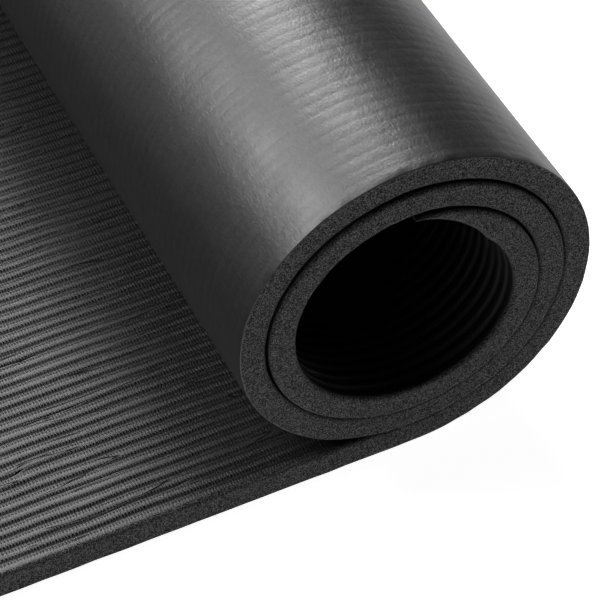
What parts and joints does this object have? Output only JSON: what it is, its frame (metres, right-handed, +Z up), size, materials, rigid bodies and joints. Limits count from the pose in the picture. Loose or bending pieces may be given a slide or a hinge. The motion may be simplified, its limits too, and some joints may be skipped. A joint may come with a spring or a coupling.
{
  "type": "foam exercise mat",
  "caption": "Thick black ribbed foam exercise mat, partly unrolled: a flat stretch lies on the floor and the rest is still a loose roll with an open core.",
  "frame": {"origin": "on the floor, half way across the mat, where the sheet leaves the floor to form the roll", "axes": "+X along the mat from its flat free end towards the roll, +Y across the mat away from the near cut edge, +Z up"},
  "size_m": [0.8898, 0.61, 0.1512],
  "materials": {
    "black_foam": "matt closed-cell foam with a lightly grained skin"
  },
  "bodies": {
    "resting_flat": {"resting_flat": "black_foam", "pressed_flat": "black_foam"},
    "curling_flat_01": {"curling_flat_01": "black_foam"},
    "curling_flat_02": {"curling_flat_02": "black_foam"},
    "curling_flat_03": {"curling_flat_03": "black_foam"},
    "curling_flat_04": {"curling_flat_04": "black_foam"},
    "curling_flat_05": {"curling_flat_05": "black_foam"},
    "curling_flat_06": {"curling_flat_06": "black_foam"},
    "curling_flat_07": {"curling_flat_07": "black_foam"},
    "curling_flat_08": {"curling_flat_08": "black_foam"},
    "curling_flat_09": {"curling_flat_09": "black_foam"},
    "curling_flat_10": {"curling_flat_10": "black_foam"},
    "outer_turn_01": {"outer_turn_01": "black_foam"},
    "outer_turn_02": {"outer_turn_02": "black_foam"},
    "outer_turn_03": {"outer_turn_03": "black_foam"},
    "outer_turn_04": {"outer_turn_04": "black_foam"},
    "outer_turn_05": {"outer_turn_05": "black_foam"},
    "outer_turn_06": {"outer_turn_06": "black_foam"},
    "outer_turn_07": {"outer_turn_07": "black_foam"},
    "outer_turn_08": {"outer_turn_08": "black_foam"},
    "outer_turn_09": {"outer_turn_09": "black_foam"},
    "outer_turn_10": {"outer_turn_10": "black_foam"},
    "outer_turn_11": {"outer_turn_11": "black_foam"},
    "outer_turn_12": {"outer_turn_12": "black_foam"},
    "roll": {"outer_turn_13": "black_foam", "outer_turn_14": "black_foam", "outer_turn_15": "black_foam", "outer_turn_16": "black_foam", "middle_turn_01": "black_foam", "middle_turn_02": "black_foam", "middle_turn_03": "black_foam", "middle_turn_04": "black_foam", "middle_turn_05": "black_foam", "middle_turn_06": "black_foam", "middle_turn_07": "black_foam", "middle_turn_08": "black_foam", "middle_turn_09": "black_foam", "middle_turn_10": "black_foam", "middle_turn_11": "black_foam", "middle_turn_12": "black_foam", "middle_turn_13": "black_foam", "middle_turn_14": "black_foam", "middle_turn_15": "black_foam", "middle_turn_16": "black_foam", "inner_turn_01": "black_foam", "inner_turn_02": "black_foam"},
    "inner_turn_03": {"inner_turn_03": "black_foam"},
    "inner_turn_04": {"inner_turn_04": "black_foam"},
    "inner_turn_05": {"inner_turn_05": "black_foam"},
    "inner_turn_06": {"inner_turn_06": "black_foam"},
    "bevelled_end_1": {"bevelled_end_1": "black_foam"},
    "bevelled_end_2": {"bevelled_end_2": "black_foam"}
  },
  "joints": [
    {"name": "unroll", "type": "hinge", "parent": "resting_flat", "child": "outer_turn_01", "pos_m": [0, 0, 0], "axis": [0, 1, 0], "range_deg": [0, 11.25]},
    {"name": "unroll_02", "type": "hinge", "parent": "outer_turn_01", "child": "outer_turn_02", "pos_m": [0.03093, 0, 0.00615], "axis": [0, 1, 0], "range_deg": [0, 22.5]},
    {"name": "unroll_03", "type": "hinge", "parent": "outer_turn_02", "child": "outer_turn_03", "pos_m": [0.05511, 0, 0.02231], "axis": [0, 1, 0], "range_deg": [0, 22.5]},
    {"name": "unroll_04", "type": "hinge", "parent": "outer_turn_03", "child": "outer_turn_04", "pos_m": [0.07047, 0, 0.04529], "axis": [0, 1, 0], "range_deg": [0, 22.5]},
    {"name": "unroll_05", "type": "hinge", "parent": "outer_turn_04", "child": "outer_turn_05", "pos_m": [0.07595, 0, 0.07286], "axis": [0, 1, 0], "range_deg": [0, 22.5]},
    {"name": "unroll_06", "type": "hinge", "parent": "outer_turn_05", "child": "outer_turn_06", "pos_m": [0.07013, 0, 0.10212], "axis": [0, 1, 0], "range_deg": [0, 22.5]},
    {"name": "unroll_07", "type": "hinge", "parent": "outer_turn_06", "child": "outer_turn_07", "pos_m": [0.0528, 0, 0.12806], "axis": [0, 1, 0], "range_deg": [0, 22.5]},
    {"name": "unroll_08", "type": "hinge", "parent": "outer_turn_07", "child": "outer_turn_08", "pos_m": [0.02688, 0, 0.14538], "axis": [0, 1, 0], "range_deg": [0, 22.5]},
    {"name": "unroll_09", "type": "hinge", "parent": "outer_turn_08", "child": "outer_turn_09", "pos_m": [-0.0025, 0, 0.15122], "axis": [0, 1, 0], "range_deg": [0, 22.5]},
    {"name": "unroll_10", "type": "hinge", "parent": "outer_turn_09", "child": "outer_turn_10", "pos_m": [-0.03041, 0, 0.14567], "axis": [0, 1, 0], "range_deg": [0, 22.5]},
    {"name": "unroll_11", "type": "hinge", "parent": "outer_turn_10", "child": "outer_turn_11", "pos_m": [-0.05308, 0, 0.13052], "axis": [0, 1, 0], "range_deg": [0, 22.5]},
    {"name": "unroll_12", "type": "hinge", "parent": "outer_turn_11", "child": "outer_turn_12", "pos_m": [-0.06782, 0, 0.10846], "axis": [0, 1, 0], "range_deg": [0, 22.5]},
    {"name": "unroll_13", "type": "hinge", "parent": "outer_turn_12", "child": "roll", "pos_m": [-0.07295, 0, 0.08269], "axis": [0, 1, 0], "range_deg": [0, 11.25]},
    {"name": "curl_inner_end", "type": "hinge", "parent": "roll", "child": "inner_turn_03", "pos_m": [0.03068, 0, 0.04674], "axis": [0, -1, 0], "range_deg": [0, 10]},
    {"name": "curl_inner_end_02", "type": "hinge", "parent": "inner_turn_03", "child": "inner_turn_04", "pos_m": [0.03855, 0, 0.05851], "axis": [0, -1, 0], "range_deg": [0, 10]},
    {"name": "curl_inner_end_03", "type": "hinge", "parent": "inner_turn_04", "child": "inner_turn_05", "pos_m": [0.0414, 0, 0.07286], "axis": [0, -1, 0], "range_deg": [0, 10]},
    {"name": "curl_inner_end_04", "type": "hinge", "parent": "inner_turn_05", "child": "inner_turn_06", "pos_m": [0.03821, 0, 0.0889], "axis": [0, -1, 0], "range_deg": [0, 10]},
    {"name": "curl_inner_end_05", "type": "hinge", "parent": "inner_turn_06", "child": "bevelled_end_1", "pos_m": [0.02837, 0, 0.10363], "axis": [0, -1, 0], "range_deg": [0, 10]},
    {"name": "curl_inner_end_06", "type": "hinge", "parent": "bevelled_end_1", "child": "bevelled_end_2", "pos_m": [0.01527, 0, 0.11734], "axis": [0, -1, 0], "range_deg": [0, 10]},
    {"name": "lift_free_end", "type": "hinge", "parent": "resting_flat", "child": "curling_flat_01", "pos_m": [-0.214, 0, 0.012], "axis": [0, 1, 0], "range_deg": [0, 18]},
    {"name": "lift_free_end_02", "type": "hinge", "parent": "curling_flat_01", "child": "curling_flat_02", "pos_m": [-0.274, 0, 0.012], "axis": [0, 1, 0], "range_deg": [0, 18]},
    {"name": "lift_free_end_03", "type": "hinge", "parent": "curling_flat_02", "child": "curling_flat_03", "pos_m": [-0.334, 0, 0.012], "axis": [0, 1, 0], "range_deg": [0, 18]},
    {"name": "lift_free_end_04", "type": "hinge", "parent": "curling_flat_03", "child": "curling_flat_04", "pos_m": [-0.394, 0, 0.012], "axis": [0, 1, 0], "range_deg": [0, 18]},
    {"name": "lift_free_end_05", "type": "hinge", "parent": "curling_flat_04", "child": "curling_flat_05", "pos_m": [-0.454, 0, 0.012], "axis": [0, 1, 0], "range_deg": [0, 18]},
    {"name": "curl_free_end", "type": "hinge", "parent": "curling_flat_05", "child": "curling_flat_06", "pos_m": [-0.514, 0, 0.012], "axis": [0, 1, 0], "range_deg": [0, 18]},
    {"name": "curl_free_end_02", "type": "hinge", "parent": "curling_flat_06", "child": "curling_flat_07", "pos_m": [-0.574, 0, 0.012], "axis": [0, 1, 0], "range_deg": [0, 18]},
    {"name": "curl_free_end_03", "type": "hinge", "parent": "curling_flat_07", "child": "curling_flat_08", "pos_m": [-0.634, 0, 0.012], "axis": [0, 1, 0], "range_deg": [0, 18]},
    {"name": "curl_free_end_04", "type": "hinge", "parent": "curling_flat_08", "child": "curling_flat_09", "pos_m": [-0.694, 0, 0.012], "axis": [0, 1, 0], "range_deg": [0, 18]},
    {"name": "curl_free_end_05", "type": "hinge", "parent": "curling_flat_09", "child": "curling_flat_10", "pos_m": [-0.754, 0, 0.012], "axis": [0, 1, 0], "range_deg": [0, 18]}
  ],
  "couplings": [
    {"joint": "unroll_02", "follows": "unroll", "ratio": 2},
    {"joint": "unroll_03", "follows": "unroll", "ratio": 2},
    {"joint": "unroll_04", "follows": "unroll", "ratio": 2},
    {"joint": "unroll_05", "follows": "unroll", "ratio": 2},
    {"joint": "unroll_06", "follows": "unroll", "ratio": 2},
    {"joint": "unroll_07", "follows": "unroll", "ratio": 2},
    {"joint": "unroll_08", "follows": "unroll", "ratio": 2},
    {"joint": "unroll_09", "follows": "unroll", "ratio": 2},
    {"joint": "unroll_10", "follows": "unroll", "ratio": 2},
    {"joint": "unroll_11", "follows": "unroll", "ratio": 2},
    {"joint": "unroll_12", "follows": "unroll", "ratio": 2},
    {"joint": "unroll_13", "follows": "unroll", "ratio": 1},
    {"joint": "curl_inner_end_02", "follows": "curl_inner_end", "ratio": 1},
    {"joint": "curl_inner_end_03", "follows": "curl_inner_end", "ratio": 1},
    {"joint": "curl_inner_end_04", "follows": "curl_inner_end", "ratio": 1},
    {"joint": "curl_inner_end_05", "follows": "curl_inner_end", "ratio": 1},
    {"joint": "curl_inner_end_06", "follows": "curl_inner_end", "ratio": 1},
    {"joint": "lift_free_end_02", "follows": "lift_free_end", "ratio": 1},
    {"joint": "lift_free_end_03", "follows": "lift_free_end", "ratio": 1},
    {"joint": "lift_free_end_04", "follows": "lift_free_end", "ratio": 1},
    {"joint": "lift_free_end_05", "follows": "lift_free_end", "ratio": 1},
    {"joint": "curl_free_end_02", "follows": "curl_free_end", "ratio": 1},
    {"joint": "curl_free_end_03", "follows": "curl_free_end", "ratio": 1},
    {"joint": "curl_free_end_04", "follows": "curl_free_end", "ratio": 1},
    {"joint": "curl_free_end_05", "follows": "curl_free_end", "ratio": 1}
  ]
}
